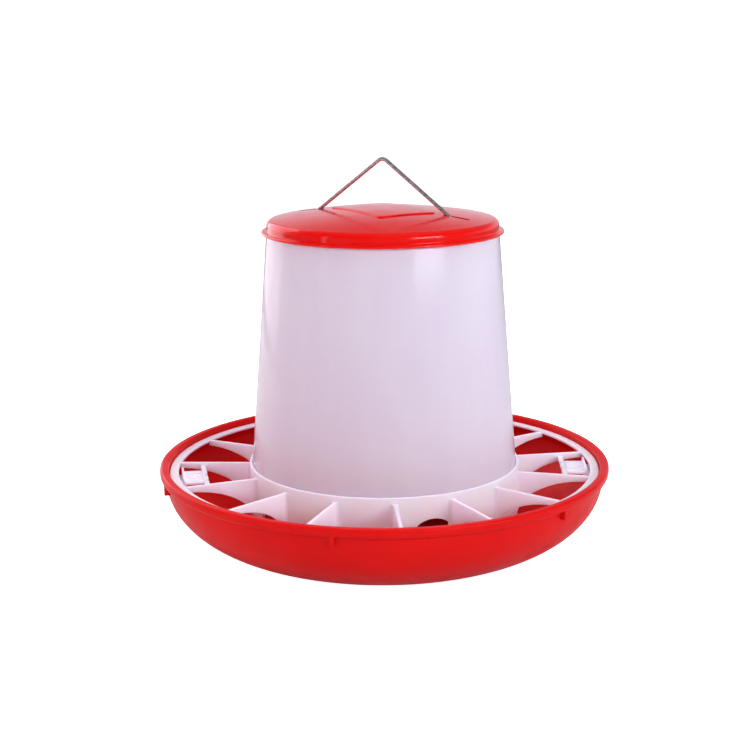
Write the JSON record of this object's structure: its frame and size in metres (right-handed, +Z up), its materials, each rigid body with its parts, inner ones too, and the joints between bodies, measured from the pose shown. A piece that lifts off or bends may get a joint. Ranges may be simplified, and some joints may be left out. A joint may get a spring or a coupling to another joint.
{
  "type": "hanging poultry feeder",
  "caption": "Hanging dry-feed poultry feeder: round pan with a finned feed-saver guard, tapered translucent hopper, domed lid and wire bail.",
  "frame": {"origin": "centre of the pan's flat underside, on the surface the feeder stands on", "axes": "+Z up along the hopper's axis, -Y towards the front, +X to the right"},
  "size_m": [0.36, 0.36, 0.3076],
  "materials": {
    "pan_red": "satin moulded polypropylene",
    "lid_red": "glossy moulded polypropylene",
    "guard_white": "satin white moulded polypropylene",
    "hopper_milky": "glossy translucent natural polypropylene",
    "wire_galvanised": "galvanised wire"
  },
  "bodies": {
    "pan": {"pan": "pan_red", "spreader_cone": "pan_red"},
    "hopper_unit": {"guard_collar": "guard_white", "guard_ring": "guard_white", "guard_fin_01": "guard_white", "guard_fin_02": "guard_white", "guard_fin_03": "guard_white", "guard_fin_04": "guard_white", "guard_fin_05": "guard_white", "guard_fin_06": "guard_white", "guard_fin_07": "guard_white", "guard_fin_08": "guard_white", "guard_fin_09": "guard_white", "guard_fin_10": "guard_white", "guard_fin_11": "guard_white", "guard_fin_12": "guard_white", "guard_fin_13": "guard_white", "guard_fin_14": "guard_white", "guard_fin_15": "guard_white", "latch_plate_left": "guard_white", "latch_plate_right": "guard_white", "hopper": "hopper_milky"},
    "latch_left": {"latch_tongue_left": "guard_white"},
    "latch_right": {"latch_tongue_right": "guard_white"},
    "lid": {"lid": "lid_red"},
    "bail": {"bail": "wire_galvanised"}
  },
  "joints": [
    {"name": "hopper_unit_lift", "type": "slide", "parent": "pan", "child": "hopper_unit", "axis": [0, 0, 1], "range_m": [0, 0.1]},
    {"name": "latch_left_press", "type": "hinge", "parent": "hopper_unit", "child": "latch_left", "pos_m": [-0.14418, -0.02594, 0.058], "axis": [0.1771, -0.9842, 0], "range_deg": [0, 12], "stiffness_Nm_per_rad": 0.5},
    {"name": "latch_right_press", "type": "hinge", "parent": "hopper_unit", "child": "latch_right", "pos_m": [0.14643, -0.0046, 0.058], "axis": [0.0314, 0.9995, 0], "range_deg": [0, 12], "stiffness_Nm_per_rad": 0.5},
    {"name": "lid_lift", "type": "slide", "parent": "hopper_unit", "child": "lid", "axis": [0, 0, 1], "range_m": [0, 0.12]},
    {"name": "bail_tilt", "type": "hinge", "parent": "lid", "child": "bail", "pos_m": [0, 0, 0.2637], "axis": [0.8988, -0.4384, 0], "range_deg": [-15, 15]}
  ]
}
